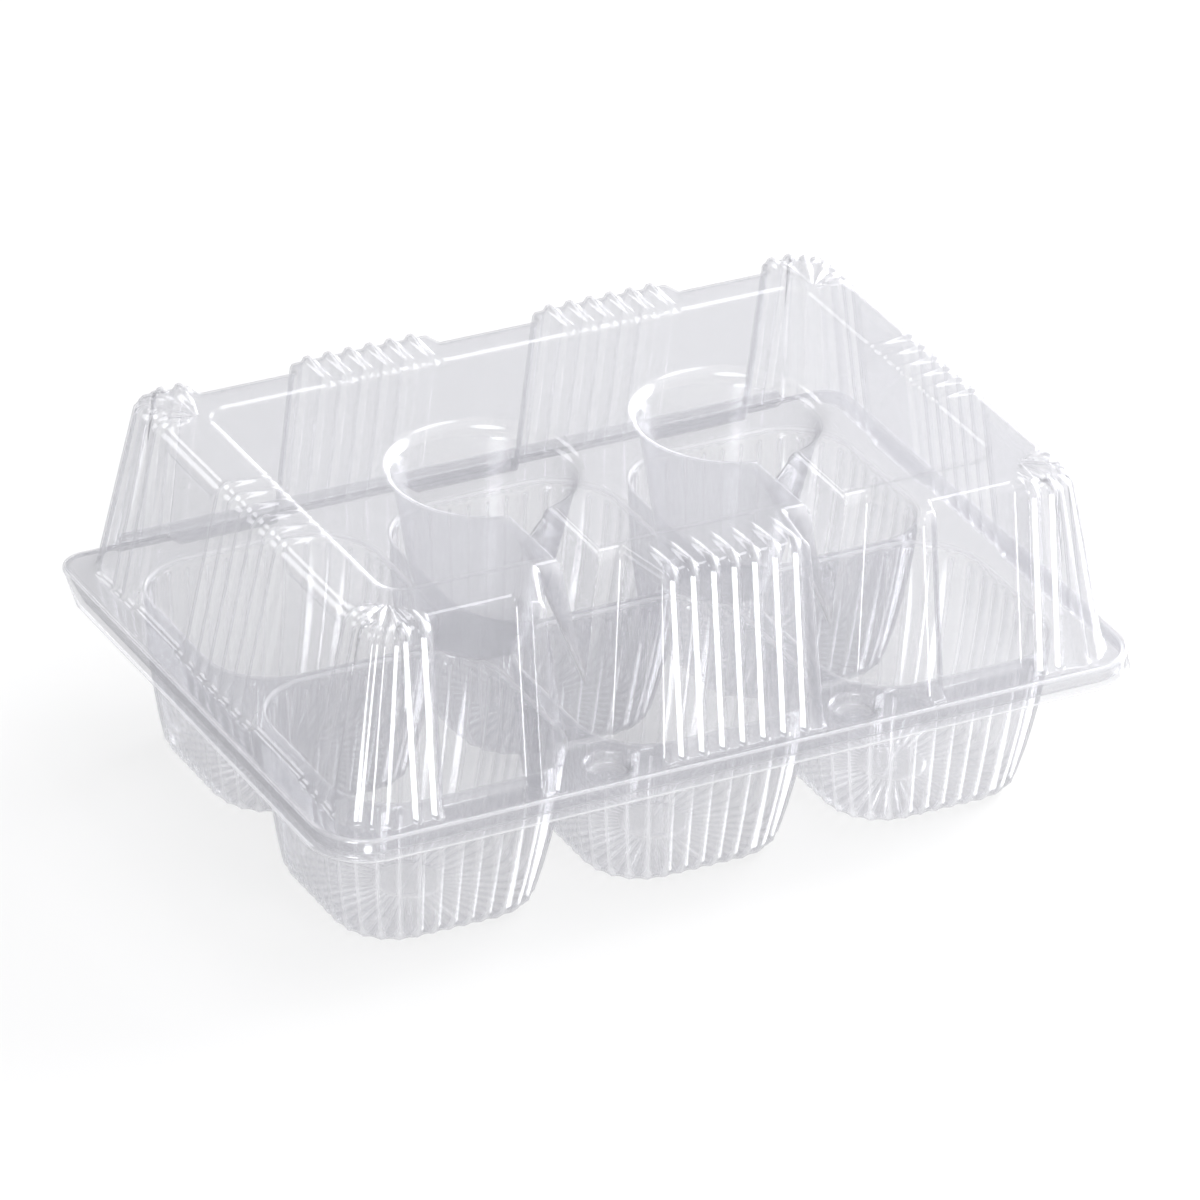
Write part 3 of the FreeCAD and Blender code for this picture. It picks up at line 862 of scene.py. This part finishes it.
# Materials.  Seen square on, the sheet takes TINT_FACING and HAZE_FACING; at a grazing view
# TINT_SLANTED and HAZE_SLANTED.
MIRROR_HEAD_ON = 0.045
MIRROR_POWER = 5.0
SLANT_POWER = 2.2
TINT_FACING = (0.99, 0.99, 0.994, 1)
TINT_SLANTED = (0.965, 0.965, 0.972, 1)
HAZE_FACING = 0.12
HAZE_SLANTED = 0.4
HAZE_COLOR = (0.5, 0.5, 0.522, 1)
# Colour of the painted highlight laid along tight creases and rib edges
PAINTED_CREASE_HIGHLIGHT = (0.95, 0.95, 0.96, 1)
WAVE_SCALE = 38.0
WAVE_STRENGTH = 0.035
WAVE_HEIGHT = 0.002
FLOOR_COLOR = (0.14, 0.14, 0.141, 1)
FLOOR_GLOW = 0.76
WHITE = (1, 1, 1, 1)

# (name, roughness, mirror head on, haze, bend where the painted crease highlight starts, where it is full,
# its share)
CLEAR = ("clear_pet", 0.06, MIRROR_HEAD_ON, 1.0, 0.02, 0.1, 0.4)
FLUTED = ("clear_pet_fluted", 0.06, MIRROR_HEAD_ON, 1.0, 0.012, 0.045, 0.4)
FOLDED = ("clear_pet_folded", 0.12, MIRROR_HEAD_ON, 0.3, 0.02, 0.1, 0.2)
STRETCHED = ("clear_pet_stretched", 0.25, MIRROR_HEAD_ON / 2, 1.0, 0.02, 0.1, 0.3)


def node(tree, kind, **inputs):
    """New shader node.  Its inputs go by name or, as _0, _1 and so on, by number, and each is a
    plain value or the output that feeds it."""
    made = tree.nodes.new(kind)
    for key, value in inputs.items():
        target = made.inputs[int(key[1:])] if key[1:].isdigit() else made.inputs[key]
        if isinstance(value, bpy.types.NodeSocket):
            tree.links.new(value, target)
        else:
            target.default_value = value
    return made


def maths(tree, operation, *terms):
    """Output of a maths node on up to three terms, plain numbers or other outputs."""
    made = node(tree, "ShaderNodeMath", **{f"_{i}": term for i, term in enumerate(terms)})
    made.operation = operation
    return made.outputs[0]


def blended(tree, share, first, second):
    """Shader that is first, with a share of second mixed in."""
    return node(tree, "ShaderNodeMixShader", _0=share, _1=first, _2=second).outputs[0]


def milky(tree, color):
    """Shader of a thin milky sheet, lit from either side."""
    front = node(tree, "ShaderNodeBsdfDiffuse", Color=color)
    back = node(tree, "ShaderNodeBsdfTranslucent", Color=color)
    return blended(tree, 0.5, front.outputs[0], back.outputs[0])


def empty_material(name):
    """New material with an empty node tree."""
    material = bpy.data.materials.new(name)
    material.use_nodes = True
    material.node_tree.nodes.clear()
    return material


def clear_plastic(name, roughness, head_on, haze, highlight_from, highlight_to, highlight_share):
    """Thin clear sheet: tinted see-through with a little haze, greyer at a slant, painted white
    highlights along tight creases, and with mirror reflections that are stronger at a slant."""
    material = empty_material(name)
    tree = material.node_tree
    place = node(tree, "ShaderNodeTexCoord").outputs["Object"]
    waves = node(tree, "ShaderNodeTexNoise", Vector=place, Scale=WAVE_SCALE, Detail=2.0)
    bump = node(tree, "ShaderNodeBump", Strength=WAVE_STRENGTH, Distance=WAVE_HEIGHT,
                Height=waves.outputs["Fac"])
    normal = bump.outputs["Normal"]
    facing = node(tree, "ShaderNodeLayerWeight", Blend=0.5, Normal=normal).outputs["Facing"]
    slant = maths(tree, "POWER", facing, SLANT_POWER)

    tint = node(tree, "ShaderNodeMix", _0=slant, _6=TINT_FACING, _7=TINT_SLANTED)
    tint.data_type = "RGBA"
    through = node(tree, "ShaderNodeBsdfTransparent", Color=tint.outputs[2])
    veil = maths(tree, "MULTIPLY_ADD", slant, haze * (HAZE_SLANTED - HAZE_FACING), haze * HAZE_FACING)
    veiled = blended(tree, veil, through.outputs[0], milky(tree, HAZE_COLOR))

    # Painted highlight: a white milky layer mixed in where the surface bends tightly, standing in for the
    # bright lines that ridges catch
    off_flat = maths(tree, "SUBTRACT", node(tree, "ShaderNodeNewGeometry").outputs["Pointiness"], 0.5)
    sharp = maths(tree, "ABSOLUTE", off_flat)
    crease = node(tree, "ShaderNodeMapRange", _0=sharp, _1=highlight_from, _2=highlight_to, _3=0.0,
                  _4=highlight_share)
    highlighted = blended(tree, crease.outputs[0], veiled, milky(tree, PAINTED_CREASE_HIGHLIGHT))

    shine = node(tree, "ShaderNodeBsdfGlossy", Color=WHITE, Roughness=roughness, Normal=normal)
    mirror = maths(tree, "MULTIPLY_ADD", maths(tree, "POWER", facing, MIRROR_POWER), 1 - head_on, head_on)
    node(tree, "ShaderNodeOutputMaterial", Surface=blended(tree, mirror, highlighted, shine.outputs[0]))
    return material


def floor_material():
    """Plain pale studio floor."""
    material = empty_material("pale_floor")
    tree = material.node_tree
    diffuse = node(tree, "ShaderNodeBsdfDiffuse", Color=FLOOR_COLOR)
    glow = node(tree, "ShaderNodeEmission", Color=WHITE, Strength=FLOOR_GLOW)
    both = node(tree, "ShaderNodeAddShader", _0=diffuse.outputs[0], _1=glow.outputs[0])
    node(tree, "ShaderNodeOutputMaterial", Surface=both.outputs[0])
    return material


def in_post(place):
    """True on the wall of a post, where the sheet is stretched thin and less glossy."""
    near = math.hypot(abs(place.x) - POST_X, place.y) < POST_MOUTH_R
    return near and FLANGE_Z + 1 < place.z < TOP_Z - MOUTH_FILLET


# Studio.  Lengths here are metres.
FLOOR_SIZE = 12
FLOOR_Z = -0.0003
LAMP_AIM_Z = 0.03

# Lamps: (name, azimuth, elevation, distance, width, height, watts)
LAMPS = (
    ("front", 0, 22, 1.1, 0.9, 0.5, 11),
    ("right", -100, 35, 1.1, 0.8, 0.5, 22),
    ("overhead", -40, 68, 1.2, 0.8, 0.8, 10),
)

# Bright spots seen in reflections: (azimuth, elevation, inner and outer half angle, brightness)
SPOTS = (
    (44, -9, 7, 14, 12.0),
    (-100, -19, 6, 13, 5.0),
    (-79, -41, 7, 15, 6.5),
    (14, -36, 5, 10, 10.0),
    (-105, 16, 14, 30, 12.0),
    (-140, 2, 5, 12, 2.5),
    (30, 55, 8, 18, 4.0),
    (172, 42, 5, 12, 3.5),
    (-110, 60, 6, 13, 4.0),
    (138, 9, 9, 19, 3.0),
)
WORLD_COLOR = (0.96, 0.965, 1.0, 1)
WORLD_LIGHT = 0.55
WORLD_REFLECTED = 0.75


def direction(azimuth, elevation):
    """Unit vector from the carton; azimuth runs from the front towards the left, in degrees."""
    a, e = math.radians(azimuth), math.radians(elevation)
    return Vector((-math.sin(a) * math.cos(e), -math.cos(a) * math.cos(e), math.sin(e)))


def softbox(name, azimuth, elevation, distance, width, height, power):
    """Area light that faces the carton and isn't seen in reflections."""
    way = direction(azimuth, elevation)
    data = bpy.data.lights.new(name, "AREA")
    data.shape = "RECTANGLE"
    data.size, data.size_y = width, height
    data.energy = power
    light = bpy.data.objects.new(name, data)
    light.location = way * distance + Vector((0, 0, LAMP_AIM_Z))
    light.rotation_mode = "QUATERNION"
    light.rotation_quaternion = way.to_track_quat("Z", "Y")
    light.visible_glossy = False
    bpy.context.scene.collection.objects.link(light)


def surroundings():
    """Pale even world, with soft bright spots that show in reflections only."""
    world = bpy.data.worlds.new("studio")
    world.use_nodes = True
    tree = world.node_tree
    tree.nodes.clear()
    seen_way = node(tree, "ShaderNodeTexCoord").outputs["Generated"]
    reflected = WORLD_REFLECTED
    for azimuth, elevation, inner, outer, gain in SPOTS:
        dot = node(tree, "ShaderNodeVectorMath", _0=seen_way, _1=direction(azimuth, elevation))
        dot.operation = "DOT_PRODUCT"
        spot = node(tree, "ShaderNodeMapRange", _0=dot.outputs["Value"], _1=math.cos(math.radians(outer)),
                    _2=math.cos(math.radians(inner)), _3=0.0, _4=gain)
        spot.interpolation_type = "SMOOTHSTEP"
        reflected = maths(tree, "ADD", spot.outputs[0], reflected)
    glossy = node(tree, "ShaderNodeLightPath").outputs["Is Glossy Ray"]
    strength = node(tree, "ShaderNodeMix", _0=glossy, _2=WORLD_LIGHT, _3=reflected)
    background = node(tree, "ShaderNodeBackground", Color=WORLD_COLOR, Strength=strength.outputs[0])
    node(tree, "ShaderNodeOutputWorld", Surface=background.outputs[0])
    return world


def studio():
    """Floor, world and lights."""
    bpy.ops.mesh.primitive_plane_add(size=FLOOR_SIZE)
    floor = bpy.context.object
    floor.name = "floor"
    floor.location.z = FLOOR_Z
    floor.data.materials.append(floor_material())
    floor.visible_glossy = False
    bpy.context.scene.world = surroundings()
    for lamp in LAMPS:
        softbox(*lamp)


# Viewing angle of the product picture: turns in radians, distance and shift in millimetres
VIEW_YAW = 0.52805
VIEW_ELEVATION = 0.51665
VIEW_ROLL = 0.05598
VIEW_DISTANCE = 1742.7
VIEW_SHIFT = (0.23, 1.46)
LENS = 277.56
SENSOR = 36


def camera():
    """Long-lens camera in front, to the left and above."""
    yaw, el, roll = VIEW_YAW, VIEW_ELEVATION, VIEW_ROLL
    forward = Vector((math.sin(yaw) * math.cos(el), math.cos(yaw) * math.cos(el), -math.sin(el)))
    right = Vector((math.cos(yaw), -math.sin(yaw), 0))
    up = right.cross(forward)
    rolled_right = right * math.cos(roll) + up * math.sin(roll)
    rolled_up = up * math.cos(roll) - right * math.sin(roll)
    place = forward * -VIEW_DISTANCE + right * VIEW_SHIFT[0] + up * VIEW_SHIFT[1] + Vector((0, 0, RIM_Z))
    data = bpy.data.cameras.new("camera")
    data.lens = LENS
    data.sensor_width = SENSOR
    data.clip_start = 0.05
    data.clip_end = 50
    cam = bpy.data.objects.new("camera", data)
    turn = Matrix((rolled_right, rolled_up, -forward)).transposed().to_4x4()
    cam.matrix_world = Matrix.Translation(place * MM) @ turn
    bpy.context.scene.collection.objects.link(cam)
    bpy.context.scene.camera = cam


clear, fluted, folded, stretched = [clear_plastic(*look) for look in (CLEAR, FLUTED, FOLDED, STRETCHED)]
for made, main in ((tray_sheet().build("tray_sheet", "tray", "tray"), fluted),
                   (web_sheet().build("hinge_strip", "hinge_web", "hinge_web"), folded),
                   (lid_sheet().build("lid_sheet", "lid", "lid"), clear)):
    made.data.materials.append(main)
    made.data.materials.append(stretched)
    for face in made.data.polygons:
        face.material_index = int(in_post(face.center / MM))

studio()
camera()
scene = bpy.context.scene
scene.view_settings.view_transform = "Standard"
scene.cycles.transparent_max_bounces = 64
scene.cycles.max_bounces = 12
scene.cycles.caustics_reflective = False
scene.cycles.caustics_refractive = False
